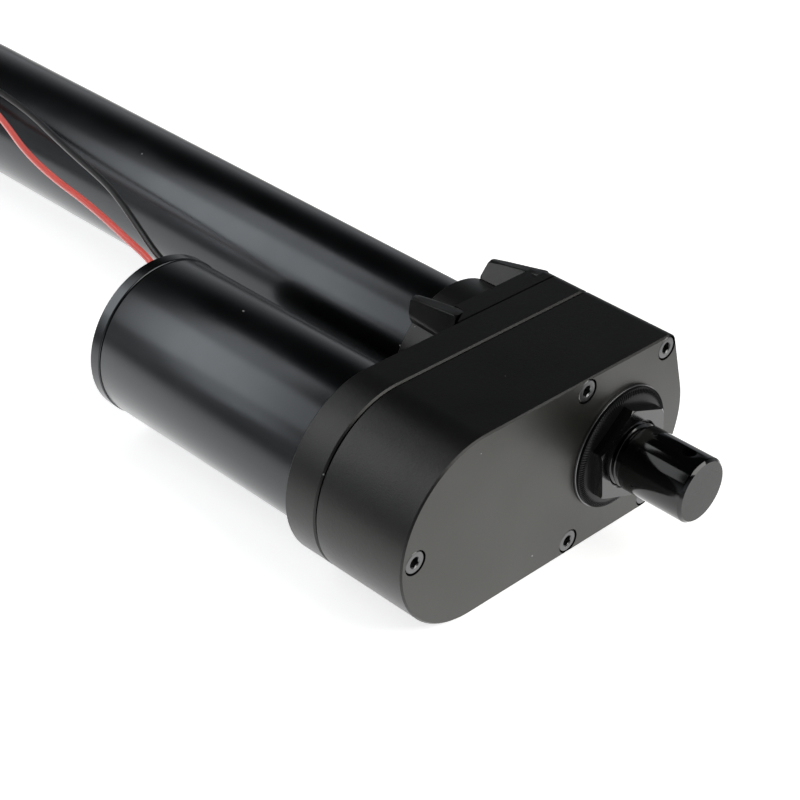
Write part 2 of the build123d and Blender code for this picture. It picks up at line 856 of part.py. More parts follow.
# Outer tube
tube_length = tube_front - tube_back
with BuildPart() as outer_tube:
    extrude(ring(tube_back, tube_radius, tube_inner), amount=-tube_length)
outer_tube.part.label = "outer_tube"
export_step(outer_tube.part, "parts/outer_tube.step")

# Front cap with its wiper
bush_bore = rod_radius + guide_gap
cap_bore = rod_radius + front_cap_gap
wiper_back = tube_front + (front_cap_wall - wiper_width) / 2
with BuildPart() as tube_front_cap:
    extrude(ring(front_cap_back, front_cap_radius, tube_radius),
            amount=-(tube_front - front_cap_back))
    extrude(ring(tube_front, front_cap_radius, cap_bore), amount=-front_cap_wall)
    extrude(ring(wiper_back, wiper_radius), amount=-wiper_width, mode=Mode.SUBTRACT)
    rims = tube_front_cap.faces().sort_by(Axis.Y)[-1].outer_wire().edges()
    chamfer(rims, 1.2)
tube_front_cap.part.label = "tube_front_cap"
export_step(tube_front_cap.part, "parts/tube_front_cap.step")

with BuildPart() as wiper_seal:
    extrude(ring(wiper_back, wiper_radius, bush_bore), amount=-wiper_width)
wiper_seal.part.label = "wiper_seal"
export_step(wiper_seal.part, "parts/wiper_seal.step")

with BuildPart() as guide_bush:
    extrude(ring(guide_back, tube_inner, bush_bore), amount=-guide_length)
guide_bush.part.label = "guide_bush"
export_step(guide_bush.part, "parts/guide_bush.step")

# Limit-switch rail along the bottom of the tube, and its two switches
rail_back = nut_back - rail_margin
rail_front = guide_back - rail_margin
with BuildPart() as limit_switch_rail:
    with Locations((0, (rail_back + rail_front) / 2, -rail_base + rail_thickness / 2)):
        Box(rail_width, rail_front - rail_back, rail_thickness)
limit_switch_rail.part.label = "limit_switch_rail"
export_step(limit_switch_rail.part, "parts/limit_switch_rail.step")

switch_z = -rail_base + rail_thickness + switch_height / 2
with BuildPart() as limit_switches:
    for middle in (rail_back + switch_length, rail_front - switch_length):
        with Locations((0, middle, switch_z)):
            Box(switch_width, switch_length, switch_height)
limit_switches.part.label = "limit_switches"
export_step(limit_switches.part, "parts/limit_switches.step")

# Drive nut: flange with a flat over the rail, and a barrel inside the rod
with BuildPart() as drive_nut:
    extrude(ring(nut_back, tube_inner - slide_gap), amount=-nut_flange_length)
    extrude(ring(nut_front, rod_inner), amount=-nut_barrel_length)
    with BuildSketch(station(nut_back)):
        with Locations((0, -rail_flat - tube_radius)):
            Rectangle(2 * tube_radius, 2 * tube_radius)
    extrude(amount=-nut_flange_length, mode=Mode.SUBTRACT)
    extrude(ring(nut_back, screw_radius + running_gap), amount=-stroke, mode=Mode.SUBTRACT)
drive_nut.part.label = "drive_nut"
export_step(drive_nut.part, "parts/drive_nut.step")

# Extension tube
with BuildPart() as extension_tube:
    extrude(ring(nut_front, rod_radius, rod_inner), amount=-(rod_front - nut_front))
extension_tube.part.label = "extension_tube"
export_step(extension_tube.part, "parts/extension_tube.step")

# Rod eye: plug inside the rod, round neck, flats and a rounded end
with BuildPart() as rod_eye:
    extrude(ring(plug_back, rod_inner), amount=-plug_length)
    extrude(ring(rod_front, rod_radius), amount=-(eye_neck + eye_end))
    with BuildSketch(Plane.XY):
        with Locations((0, eye_station)):
            Circle(eye_end)
        with Locations((0, eye_station - eye_end)):
            Rectangle(2 * eye_end, 2 * eye_end)
        with Locations((0, rod_front - plug_length)):
            Rectangle(2 * eye_end, 2 * plug_length)
    extrude(amount=rod_radius, both=True, mode=Mode.INTERSECT)
    for side in (-1, 1):
        with Locations((0, eye_station, side * (eye_flats / 2 + rod_radius))):
            Box(4 * rod_radius, 2 * eye_end, 2 * rod_radius, mode=Mode.SUBTRACT)
    with BuildSketch(Plane.XY):
        with Locations((0, eye_station)):
            Circle(eye_bush_radius)
    extrude(amount=rod_radius, both=True, mode=Mode.SUBTRACT)
rod_eye.part.label = "rod_eye"
export_step(rod_eye.part, "parts/rod_eye.step")

with BuildPart() as rod_eye_bush:
    with BuildSketch(Plane.XY):
        with Locations((0, eye_station)):
            Circle(eye_bush_radius)
            Circle(eye_bore_radius, mode=Mode.SUBTRACT)
    extrude(amount=eye_bush_length / 2, both=True)
rod_eye_bush.part.label = "rod_eye_bush"
export_step(rod_eye_bush.part, "parts/rod_eye_bush.step")

# Leads: each route starts in the grommet, rises past the tube's side and lies along its top
lead_start = cap_end - 1.0
grommet_end = cap_end + grommet_flange
red_route = [
    (grommet_places[0][0], lead_start, grommet_z),
    (grommet_places[0][0], 159.0, grommet_z),
    (-52.2, 165.0, 17.7),
    (-49.9, 178.0, 18.2),
    (-47.6, 191.0, 19.0),
    (-44.7, 206.0, 18.9),
    (-41.9, 226.0, 18.6),
    (-37.0, 246.0, 18.4),
    (-30.0, 264.0, 17.9),
    (-22.8, 284.0, 16.9),
    (-17.5, 304.0, 15.9),
    (-15.3, 324.0, 15.4),
    (-15.2, 343.0, 15.3),
]
black_route = [
    (grommet_places[1][0], lead_start, grommet_z),
    (grommet_places[1][0], 159.0, grommet_z),
    (-49.1, 165.5, 18.1),
    (-46.0, 177.0, 20.8),
    (-41.8, 190.0, 22.7),
    (-36.9, 204.0, 23.0),
    (-31.5, 226.0, 22.1),
    (-25.5, 246.0, 20.6),
    (-19.5, 264.0, 19.0),
    (-15.4, 284.0, 17.8),
    (-13.3, 304.0, 17.3),
    (-12.95, 324.0, 17.2),
    (-12.9, 343.0, 17.25),
]


def bend_radii(route):
    """The radius at each corner: 0.45 of the shorter run over the tangent of half the turn."""
    radii = []
    for index in range(1, len(route) - 1):
        before = Vector(*route[index]) - Vector(*route[index - 1])
        after = Vector(*route[index + 1]) - Vector(*route[index])
        turn = radians(before.get_angle(after))
        radii.append(0.45 * min(before.length, after.length) / tan(turn / 2))
    return radii


def lead(route):
    """A round wire along the route."""
    radii = bend_radii(route)
    with BuildPart() as wire:
        with BuildLine() as path:
            FilletPolyline(*route, radius=radii)
        middle = path.wire()
        with BuildSketch(Plane(origin=middle @ 0, z_dir=middle % 0)):
            Circle(lead_diameter / 2)
        sweep()
    expected = pi * lead_diameter**2 / 4 * middle.length
    print("lead length", round(middle.length, 1), "volume over section x length",
          round(wire.part.volume / expected, 4), "radii", [round(radius, 1) for radius in radii])
    return wire.part


def tip_plane(route):
    """The plane across the end of a lead."""
    end = Vector(*route[-1])
    return Plane(origin=end, z_dir=end - Vector(*route[-2]))


with BuildPart() as red_lead:
    add(lead(red_route))
red_lead.part.label = "red_lead"
export_step(red_lead.part, "parts/red_lead.step")

with BuildPart() as black_lead:
    add(lead(black_route))
black_lead.part.label = "black_lead"
export_step(black_lead.part, "parts/black_lead.step")

# Bare tinned tips of the leads
with BuildPart() as lead_tips:
    for route in (red_route, black_route):
        with BuildSketch(tip_plane(route)):
            Circle(tip_radius)
        extrude(amount=tip_length)
lead_tips.part.label = "lead_tips"
export_step(lead_tips.part, "parts/lead_tips.step")

# Grommet in the end cap, with a hole round each lead
with BuildPart() as lead_grommet:
    extrude(lead_slot(cap_start, grommet_radius), amount=-cap_width)
    extrude(lead_slot(cap_end, grommet_flange_radius), amount=-grommet_flange)
    extrude(discs(lead_start, lead_diameter / 2 + lead_gap, grommet_places),
            amount=-(grommet_end - lead_start), mode=Mode.SUBTRACT)
lead_grommet.part.label = "lead_grommet"
export_step(lead_grommet.part, "parts/lead_grommet.step")

# Tie that holds both leads to the tube
tie_station = tube_front - tie_setback
tie_leads = [(-15.25, 15.35), (-12.93, 17.22)]


def tie_hull(y, inset):
    """The hull of the tube and both leads, grown by inset."""
    with BuildSketch(station(y)) as face:
        with BuildLine():
            CenterArc((0, 0), tube_radius + inset, 0, 360)
            for place in tie_leads:
                CenterArc(place, lead_diameter / 2 + tie_gap + inset, 0, 360)
        make_hull()
    return face.sketch


with BuildPart() as lead_tie:
    extrude(tie_hull(tie_station, tie_thickness), amount=-tie_width)
    with Locations((0, tie_station + tie_width / 2, tube_radius + tie_thickness)):
        Box(tie_buckle + 1, tie_width + 1, tie_buckle)
    extrude(tie_hull(tie_station - 1, 0.0), amount=-(tie_width + 2), mode=Mode.SUBTRACT)
lead_tie.part.label = "lead_tie"
export_step(lead_tie.part, "parts/lead_tie.step")

screw_lead = 5.0
screw_turns = stroke / screw_lead
motor_ratio = (idler_large_teeth / motor_teeth) * (screw_gear_teeth / idler_small_teeth)
print("motor at x", round(motor_x, 3), "idler at x", round(idler_x, 3))
print("tube front", tube_front, "eye at", eye_station, "screw turns", screw_turns,
      "motor turns", screw_turns * motor_ratio)
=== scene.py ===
# %% [markdown]
# # An electric linear actuator
# A small motor turns a screw through a gearbox, and the screw pushes a rod out of a long tube.
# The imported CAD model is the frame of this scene. Its axis +Y runs forward along the stroke, the
# motor lies beside the tube on the -X side, and +Z is up. Everything here is in metres, but the
# sizes read more easily in millimetres, so they are written in those and multiplied by MM.

import json
from math import atan2, cos, pi, radians, sin, sqrt

import bpy
from mathutils import Matrix, Vector


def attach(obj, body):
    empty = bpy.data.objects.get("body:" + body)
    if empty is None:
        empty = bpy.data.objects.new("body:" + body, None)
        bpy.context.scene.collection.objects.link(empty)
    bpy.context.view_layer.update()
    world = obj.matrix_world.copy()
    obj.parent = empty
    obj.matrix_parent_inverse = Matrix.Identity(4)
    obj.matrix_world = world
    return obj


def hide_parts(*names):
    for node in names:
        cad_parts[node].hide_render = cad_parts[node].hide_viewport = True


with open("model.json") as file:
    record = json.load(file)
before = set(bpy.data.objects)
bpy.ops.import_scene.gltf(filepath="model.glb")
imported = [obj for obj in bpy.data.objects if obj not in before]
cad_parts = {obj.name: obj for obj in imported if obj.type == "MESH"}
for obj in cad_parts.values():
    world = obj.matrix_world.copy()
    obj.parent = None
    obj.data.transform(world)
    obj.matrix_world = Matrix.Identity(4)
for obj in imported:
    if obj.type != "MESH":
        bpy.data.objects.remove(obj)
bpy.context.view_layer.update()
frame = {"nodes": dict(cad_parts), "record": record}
nodes = frame["nodes"]
scene = bpy.context.scene
scene.view_settings.view_transform = "Standard"
MM = 0.001

# %% [markdown]
# ## The camera
# The photograph was taken from above the motor's side, from quite near. The camera's place and
# lens were worked out from the circles and screws that it shows. A camera looks along its own -Z,
# so its matrix has the picture's right, the picture's up and the reversed view direction as
# columns. The photographer's camera leaned by four degrees, which the roll gives.

# %% Camera
camera_place = Vector((-405.3, -253.0, 322.4)) * MM
look = Vector((0.6280, 0.5595, -0.5409)).normalized()
roll = radians(4.234)
level_right = look.cross(Vector((0, 0, 1))).normalized()
level_up = level_right.cross(look)
picture_right = level_right * cos(roll) + level_up * sin(roll)
picture_up = level_up * cos(roll) - level_right * sin(roll)
camera_data = bpy.data.cameras.new("camera")
camera_data.sensor_width = 36
camera_data.lens = 92.97
camera_data.shift_x = 0.0029
camera_data.shift_y = 0.0014
camera = bpy.data.objects.new("camera", camera_data)
scene.collection.objects.link(camera)
turned = Matrix((picture_right, picture_up, -look)).transposed().to_4x4()
camera.matrix_world = Matrix.Translation(camera_place) @ turned
scene.camera = camera
print("camera at", [round(c, 3) for c in camera_place])

# %% [markdown]
# ## Small helpers for modelling
# Every new piece starts as a primitive and is shaped in edit mode, as by hand. Operators act on
# all that is selected, so each helper starts by selecting nothing.

# %% Helpers for starting and finishing a piece


def select_none():
    """Leaves edit mode and selects nothing."""
    if bpy.context.object and bpy.context.object.mode != "OBJECT":
        bpy.ops.object.mode_set(mode="OBJECT")
    bpy.ops.object.select_all(action="DESELECT")


def select_only(piece):
    """Makes the piece the only selected and the active object."""
    select_none()
    piece.select_set(True)
    bpy.context.view_layer.objects.active = piece


def settle(piece):
    """Puts the piece's place into its mesh, so that its object sits at the origin."""
    select_only(piece)
    bpy.ops.object.transform_apply(location=True, rotation=True, scale=True)


def smooth(piece, angle=35):
    """Shades the curved faces smooth and keeps the edges that are sharper than the angle."""
    select_only(piece)
    bpy.ops.object.shade_smooth_by_angle(angle=radians(angle))


def flatten(piece, angle=30):
    """Smooth shading in which the large flat faces stay flat, and only the edges are curved."""
    smooth(piece, angle)
    weights = piece.modifiers.new("weighted normals", "WEIGHTED_NORMAL")
    weights.mode = "FACE_AREA"
    weights.weight = 100
    weights.keep_sharp = True
    select_only(piece)
    bpy.ops.object.modifier_apply(modifier=weights.name)


def round_edges(piece, width, segments=3, angle=40, edge_slot=-1):
    """Rounds the sharp edges, which catch a thin light; they may take a finish of their own."""
    bevel = piece.modifiers.new("round edges", "BEVEL")
    bevel.width = width * MM
    bevel.segments = segments
    bevel.limit_method = "ANGLE"
    bevel.angle_limit = radians(angle)
    bevel.use_clamp_overlap = True
    bevel.material = edge_slot
    select_only(piece)
    bpy.ops.object.modifier_apply(modifier=bevel.name)


def carve(piece, tool, operation="DIFFERENCE"):
    """Cuts the tool out of the piece, or keeps what both share, and removes the tool."""
    cut = piece.modifiers.new("carve", "BOOLEAN")
    cut.operation = operation
    cut.solver = "EXACT"
    cut.object = tool
    select_only(piece)
    bpy.ops.object.modifier_apply(modifier=cut.name)
    bpy.data.objects.remove(tool)


def join(pieces, name):
    """Joins several meshes into one piece."""
    select_none()
    for piece in pieces:
        piece.select_set(True)
    bpy.context.view_layer.objects.active = pieces[0]
    bpy.ops.object.join()
    pieces[0].name = name
    return pieces[0]


# %% [markdown]
# Most of this object is turned: tubes, the stud, the motor. On a lathe a profile is turned about
# an axis. Here the profile is a list of (place along the stroke, radius) points. A ring of
# vertices is added at the first point, then extruded and resized to each next one. Corners are
# softened first, because no real edge is perfectly sharp.

# %% Turning a profile


def soften(profile, radius, closed=False, steps=3):
    """Cuts each corner of a profile with a small curve."""
    softened = []
    count = len(profile)
    for index, point in enumerate(profile):
        if not closed and index in (0, count - 1):
            softened.append(point)
            continue
        here = Vector(point)
        before = Vector(profile[index - 1]) - here
        after = Vector(profile[(index + 1) % count]) - here
        reach = min(radius, 0.45 * before.length, 0.45 * after.length)
        start = here + before.normalized() * reach
        end = here + after.normalized() * reach
        for step in range(steps + 1):
            t = step / steps
            softened.append(tuple(start.lerp(here, t).lerp(here.lerp(end, t), t)))
    return softened


def turn(name, profile, x=0.0, z=0.0, corners=96, closed=False):
    """Extrudes a ring from point to point of the profile, about an axis along Y."""
    select_none()
    y, radius = profile[0]
    bpy.ops.mesh.primitive_circle_add(
        vertices=corners, radius=radius * MM, fill_type="NOTHING",
        location=(x * MM, y * MM, z * MM), rotation=(radians(90), 0, 0))
    piece = bpy.context.object
    piece.name = name
    settle(piece)
    bpy.ops.object.mode_set(mode="EDIT")
    bpy.ops.mesh.select_all(action="SELECT")
    points = profile[1:] + profile[:1] if closed else profile[1:]
    for next_y, next_radius in points:
        bpy.ops.mesh.extrude_edges_move(
            TRANSFORM_OT_translate={"value": (0, (next_y - y) * MM, 0)})
        factor = next_radius / radius
        bpy.ops.transform.resize(value=(factor, 1, factor),
                                 center_override=(x * MM, next_y * MM, z * MM))
        y, radius = next_y, next_radius
    bpy.ops.mesh.select_all(action="SELECT")
    bpy.ops.mesh.remove_doubles(threshold=0.000001)
    if not closed:
        bpy.ops.mesh.fill_holes(sides=0)
    bpy.ops.mesh.normals_make_consistent(inside=False)
    bpy.ops.object.mode_set(mode="OBJECT")
    smooth(piece)
    return piece


def drill(piece, y_from, y_to, radius, x=0.0, z=0.0, corners=48):
    """A round hole along the stroke."""
    tool = turn("drill", [(y_from, radius), (y_to, radius)], x, z, corners)
    carve(piece, tool)


# %% [markdown]
# Some CAD nodes already have the real shape and only lack rounded edges. A copy of such a node is
# merged, because its triangles come loose, then flat areas are dissolved into single faces so
# that a bevel can run round them.

# %% Dressing a copy of a CAD node


def dress(node, width=0.3, segments=2, angle=40, body="body", finishes=()):
    """A copy of a CAD node with its triangles merged and its edges rounded.

    With several finishes, the first is for the faces and the second for the rounded edges.
    """
    piece = nodes[node].copy()
    piece.data = nodes[node].data.copy()
    piece.parent = None
    piece.name = node + "_finished"
    for key in list(piece.keys()):
        del piece[key]
    scene.collection.objects.link(piece)
    select_only(piece)
    bpy.ops.object.mode_set(mode="EDIT")
    bpy.ops.mesh.select_all(action="SELECT")
    bpy.ops.mesh.remove_doubles(threshold=0.000002)
    bpy.ops.mesh.dissolve_limited(angle_limit=radians(1))
    bpy.ops.mesh.customdata_custom_splitnormals_clear()
    bpy.ops.object.mode_set(mode="OBJECT")
    if finishes:
        piece.data.materials.clear()
        for material in finishes:
            piece.data.materials.append(material)
    if width:
        round_edges(piece, width, segments, angle, 1 if len(finishes) > 1 else -1)
    flatten(piece)
    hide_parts(node)
    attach(piece, body)
    return piece


# %% [markdown]
# ## The leads
# Two single wires leave the motor's end cap through a grommet, cross the gap to the tube and lie
# along its top. A wire is a smooth line with a round section, so it is a curve with a bevel. The
# control points are the ones that the CAD solid follows.

# %% Leads
lead_diameter = 2.2
red_route = [
    (-54.5, 153.4, 16.0),
    (-54.5, 159.0, 16.0),
    (-52.2, 165.0, 17.7),
    (-49.9, 178.0, 18.2),
    (-47.6, 191.0, 19.0),
    (-44.7, 206.0, 18.9),
    (-41.9, 226.0, 18.6),
    (-37.0, 246.0, 18.4),
    (-30.0, 264.0, 17.9),
    (-22.8, 284.0, 16.9),
    (-17.5, 304.0, 15.9),
    (-15.3, 324.0, 15.4),
    (-15.2, 343.0, 15.3),
]
black_route = [
    (-49.0, 153.4, 16.0),
    (-49.0, 159.0, 16.0),
    (-49.1, 165.5, 18.1),
    (-46.0, 177.0, 20.8),
    (-41.8, 190.0, 22.7),
    (-36.9, 204.0, 23.0),
    (-31.5, 226.0, 22.1),
    (-25.5, 246.0, 20.6),
    (-19.5, 264.0, 19.0),
    (-15.4, 284.0, 17.8),
    (-13.3, 304.0, 17.3),
    (-12.95, 324.0, 17.2),
    (-12.9, 343.0, 17.25),
]


def wire(name, route, thickness):
    """A smooth round wire whose line is a spline with the route's points as control points."""
    curve = bpy.data.curves.new(name, "CURVE")
    curve.dimensions = "3D"
    curve.resolution_u = 12
    spline = curve.splines.new("NURBS")
    spline.points.add(len(route) - 1)
    for point, place in zip(spline.points, route):
        point.co = (*(Vector(place) * MM), 1)
        point.radius = MM
    spline.order_u = 3
    spline.use_endpoint_u = True
    # Blender adds the points' radius to a curve's bounding box, so the millimetre is put there
    curve.bevel_depth = thickness / 2
    curve.bevel_resolution = 6
    curve.use_fill_caps = True
    piece = bpy.data.objects.new(name, curve)
    scene.collection.objects.link(piece)
    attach(piece, "body")
    return piece


red_wire = wire("red_wire", red_route, lead_diameter)
black_wire = wire("black_wire", black_route, lead_diameter)
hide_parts("red_lead")
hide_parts("black_lead")
print("leads drawn")

# %% [markdown]
# ## The studio
# The photograph has a pure white ground and a dark room above it. Black paint shows little of its
# own colour, so almost all that is seen on it is what it mirrors: the white floor low down, the
# softboxes and the dark room elsewhere. Shader nodes say what each kind of ray meets, so a few
# helpers for them come first.

# %% Helpers for shader nodes


def calculate(tree, operation, first, second=None, third=None):
    """A Math node; a number is set on its socket and a socket is linked to it."""
    maths = tree.nodes.new("ShaderNodeMath")
    maths.operation = operation
    for index, value in enumerate((first, second, third)):
        if value is None:
            continue
        if isinstance(value, (int, float)):
            maths.inputs[index].default_value = value
        else:
            tree.links.new(value, maths.inputs[index])
    return maths.outputs[0]


def map_range(tree, value, old_range, new_range, interpolation="LINEAR"):
    """A Map Range node that carries the value from one range to another and stops at its ends."""
    node = tree.nodes.new("ShaderNodeMapRange")
    node.interpolation_type = interpolation
    node.inputs["From Min"].default_value, node.inputs["From Max"].default_value = old_range
    node.inputs["To Min"].default_value, node.inputs["To Max"].default_value = new_range
    tree.links.new(value, node.inputs["Value"])
    return node.outputs["Result"]


def seen_rays(tree, direct, mirrored):
    """A strength for camera rays, another for mirrored ones, and 0 for what lights a surface."""
    path = tree.nodes.new("ShaderNodeLightPath").outputs
    either = calculate(tree, "MAXIMUM", path["Is Glossy Ray"], path["Is Transmission Ray"])
    return calculate(tree, "ADD", calculate(tree, "MULTIPLY", path["Is Camera Ray"], direct),
                     calculate(tree, "MULTIPLY", either, mirrored))


# %% [markdown]
# The floor's colour is paler only in a patch round the object and grows dim further off: a painted
# pool of light, so that the paint mirrors a pale band low down and dark above it. It glows a
# little for camera and mirror rays, though it is no lamp, which makes it read as white everywhere
# without more light on the object; its glow for mirror rays lies in the patch only and is a
# painted reflection. It keeps the object's soft shadow.

# %% Floor
floor_level = -29.6
middle_x, half_width = -0.030, 0.055
back_y, front_y = -0.040, 0.450
behind_counts = 3.0
patch_fades = (0.04, 0.20)
patch_light = (1.0, 0.12)
far_paleness, pool_of_light_paleness = 0.24, 0.62
camera_glow, glow_taken_by_light = 1.0, 0.28
mirror_glow = 1.15

select_none()
bpy.ops.mesh.primitive_plane_add(size=6, location=(0, 0, floor_level * MM))
floor = bpy.context.object
floor.name = "floor"
settle(floor)
floor_paint = bpy.data.materials.new("floor_with_painted_pool")
floor_paint.use_nodes = True
tree = floor_paint.node_tree
tree.nodes.clear()
output = tree.nodes.new("ShaderNodeOutputMaterial")
place = tree.nodes.new("ShaderNodeTexCoord").outputs["Object"]
split = tree.nodes.new("ShaderNodeSeparateXYZ")
tree.links.new(place, split.inputs["Vector"])
# How far a place lies outside the object's footprint: beside it, behind it and ahead of it
x, y = split.outputs["X"], split.outputs["Y"]
off_middle = calculate(tree, "ABSOLUTE", calculate(tree, "SUBTRACT", x, middle_x))
beside = calculate(tree, "MAXIMUM", calculate(tree, "SUBTRACT", off_middle, half_width), 0.0)
behind = calculate(tree, "MAXIMUM", calculate(tree, "SUBTRACT", back_y, y), 0.0)
ahead = calculate(tree, "MAXIMUM", calculate(tree, "SUBTRACT", y, front_y), 0.0)
past_ends = calculate(tree, "MULTIPLY_ADD", behind, behind_counts, ahead)
away = calculate(tree, "ADD", beside, past_ends)
bright = map_range(tree, away, patch_fades, patch_light, "SMOOTHSTEP")
matte = tree.nodes.new("ShaderNodeBsdfDiffuse")
# The paler colour round the object is a painted pool of light
paleness = calculate(tree, "MULTIPLY_ADD", bright, pool_of_light_paleness, far_paleness)
tree.links.new(paleness, matte.inputs["Color"])
glow = tree.nodes.new("ShaderNodeEmission")
both = tree.nodes.new("ShaderNodeAddShader")
# The lamps light the patch already, so it glows less for the camera than the far floor does
direct = calculate(tree, "SUBTRACT", camera_glow,
                   calculate(tree, "MULTIPLY", bright, glow_taken_by_light))
# In the patch the floor also glows for mirror rays: a painted reflection, since no lamp is there
strength = seen_rays(tree, direct, calculate(tree, "MULTIPLY", bright, mirror_glow))
tree.links.new(strength, glow.inputs["Strength"])
tree.links.new(matte.outputs[0], both.inputs[0])
tree.links.new(glow.outputs[0], both.inputs[1])
tree.links.new(both.outputs[0], output.inputs["Surface"])
floor.data.materials.append(floor_paint)
print("floor at", floor_level, "mm")

# %% [markdown]
# The camera meets a white backdrop. All other rays meet the room, which is white near the
# horizon, where the backdrop stands, and dark above it.

# %% World
room_colour = (0.92, 0.96, 1.0, 1)
backdrop_colour = (1, 1, 1, 1)
room_fades = (0.0, 0.5)
room_light = (0.6, 0.015)

world = bpy.data.worlds.new("studio")
scene.world = world
world.use_nodes = True
tree = world.node_tree
tree.nodes.clear()
output = tree.nodes.new("ShaderNodeOutputWorld")
room = tree.nodes.new("ShaderNodeBackground")
room.inputs["Color"].default_value = room_colour
backdrop = tree.nodes.new("ShaderNodeBackground")
backdrop.inputs["Color"].default_value = backdrop_colour
mix = tree.nodes.new("ShaderNodeMixShader")
place = tree.nodes.new("ShaderNodeTexCoord").outputs["Generated"]
split = tree.nodes.new("ShaderNodeSeparateXYZ")
tree.links.new(place, split.inputs["Vector"])
tree.links.new(map_range(tree, split.outputs["Z"], room_fades, room_light),
               room.inputs["Strength"])
path = tree.nodes.new("ShaderNodeLightPath")
tree.links.new(path.outputs["Is Camera Ray"], mix.inputs["Fac"])
tree.links.new(room.outputs[0], mix.inputs[1])
tree.links.new(backdrop.outputs[0], mix.inputs[2])
tree.links.new(mix.outputs[0], output.inputs["Surface"])
print("world:", world.name)

# %% [markdown]
# Two softboxes overlap on the motor's side, a nearly square one and a long one, and give the band
# of light along the motor and the tube, which fades at its borders. A third one in front lights
# the end face, the nut and the screws. All face the same place between the gearbox and the motor.

# %% Lamps
lamp_target = Vector((-30, 90, 0)) * MM
cool_white = (0.97, 0.985, 1.0)
warm_white = (1.0, 0.99, 0.96)


def softbox(name, towards, distance, across, along, power, colour):
    """A rectangular lamp in metres and watts; along is its size in the stroke's direction."""
    direction = Vector(towards).normalized()
    data = bpy.data.lights.new(name, "AREA")
    data.shape = "RECTANGLE"
    data.size = across
    data.size_y = along
    data.energy = power
    data.color = colour
    lamp = bpy.data.objects.new(name, data)
    scene.collection.objects.link(lamp)
    sideways = Vector((0, 1, 0)).cross(direction).normalized()
    lengthwise = direction.cross(sideways)
    turned = Matrix((sideways, lengthwise, direction)).transposed().to_4x4()
    lamp.matrix_world = Matrix.Translation(lamp_target + direction * distance) @ turned


softbox("side_softbox", towards=(-0.540, 0.58, 0.62), distance=1.1, across=0.62, along=0.74,
        power=2.25, colour=cool_white)
softbox("long_softbox", towards=(-0.461, 0.64, 0.625), distance=1.1, across=1.5, along=0.36,
        power=3.6, colour=cool_white)
softbox("front_softbox", towards=(0.28, -0.72, 0.64), distance=1.3, across=1.2, along=0.7,
        power=12, colour=warm_white)
print("lamps:", [lamp.name for lamp in bpy.data.lights])

# %% [markdown]
# ## Finishes
# Black parts differ mostly in their surface: the cast gearbox has a fine grain, the tube and the
# motor a smooth satin coat, the stud a bright black plating. The gearbox's rounded edges and its
# end face are painted a little lighter, and the nut's flange mirrors less: painted light and
# shade. The grain, the specks of dust and the turning marks are used by several finishes, so each
# is a node group.

# %% A group for fine grain
FLOAT = "NodeSocketFloat"
coarse_scale, coarse_share = 0.28, 0.6
mottle_scale = 45.0


def new_group(name, inputs, outputs):
    """An empty shader node group with the named sockets, which all hold a number."""
    group = bpy.data.node_groups.new(name, "ShaderNodeTree")
    for label, value in inputs:
        socket = group.interface.new_socket(label, in_out="INPUT", socket_type=FLOAT)
        socket.default_value = value
    for label in outputs:
        group.interface.new_socket(label, in_out="OUTPUT", socket_type=FLOAT)
    return group, group.nodes.new("NodeGroupInput"), group.nodes.new("NodeGroupOutput")


def noise(tree, vector, scale, detail=2.0, rough=0.5):
    """A Noise Texture node's value at the given scale."""
    texture = tree.nodes.new("ShaderNodeTexNoise")
    texture.inputs["Detail"].default_value = detail
    texture.inputs["Roughness"].default_value = rough
    tree.links.new(vector, texture.inputs["Vector"])
    if isinstance(scale, (int, float)):
        texture.inputs["Scale"].default_value = scale
    else:
        tree.links.new(scale, texture.inputs["Scale"])
    return texture.outputs["Fac"]


grain, given, result = new_group("fine_grain", [("Scale", 2500.0)], ["Height", "Mottle"])
place = grain.nodes.new("ShaderNodeTexCoord").outputs["Object"]
fine = noise(grain, place, given.outputs["Scale"], 3.0, 0.6)
wider = calculate(grain, "MULTIPLY", given.outputs["Scale"], coarse_scale)
coarse = calculate(grain, "MULTIPLY", noise(grain, place, wider, 2.0), coarse_share)
grain.links.new(calculate(grain, "ADD", fine, coarse), result.inputs["Height"])
grain.links.new(noise(grain, place, mottle_scale, 3.0), result.inputs["Mottle"])

# %% [markdown]
# Dust lies in the middle of small cells, and only in the few cells whose random colour is red
# enough.

# %% A group for dust specks
rare_from = 0.72

dust, given, result = new_group("dust_specks", [("Scale", 90.0), ("Amount", 0.08)], ["Mask"])
place = dust.nodes.new("ShaderNodeTexCoord").outputs["Object"]
cells = dust.nodes.new("ShaderNodeTexVoronoi")
cells.feature = "F1"
dust.links.new(place, cells.inputs["Vector"])
dust.links.new(given.outputs["Scale"], cells.inputs["Scale"])
near = calculate(dust, "LESS_THAN", cells.outputs["Distance"], given.outputs["Amount"])
chosen = dust.nodes.new("ShaderNodeSeparateColor")
dust.links.new(cells.outputs["Color"], chosen.inputs["Color"])
rare = calculate(dust, "GREATER_THAN", chosen.outputs["Red"], rare_from)
dust.links.new(calculate(dust, "MULTIPLY", near, rare), result.inputs["Mask"])

# %% [markdown]
# Turning marks are a noise that is drawn out across the stroke, so that it changes only along it.

# %% A group for turning marks
drawn_out = (0.02, 1.0, 0.02)

marks, given, result = new_group("turning_marks", [("Scale", 900.0)], ["Height"])
place = marks.nodes.new("ShaderNodeTexCoord").outputs["Object"]
stretch = marks.nodes.new("ShaderNodeMapping")
stretch.inputs["Scale"].default_value = drawn_out
marks.links.new(place, stretch.inputs["Vector"])
marks.links.new(noise(marks, stretch.outputs["Vector"], given.outputs["Scale"], 3.0),
                result.inputs["Height"])
print("groups:", [g.name for g in bpy.data.node_groups])

# %% [markdown]
# All finishes come from one recipe. The mottle is a slow noise that shifts the gloss and the
# colour a little from place to place.

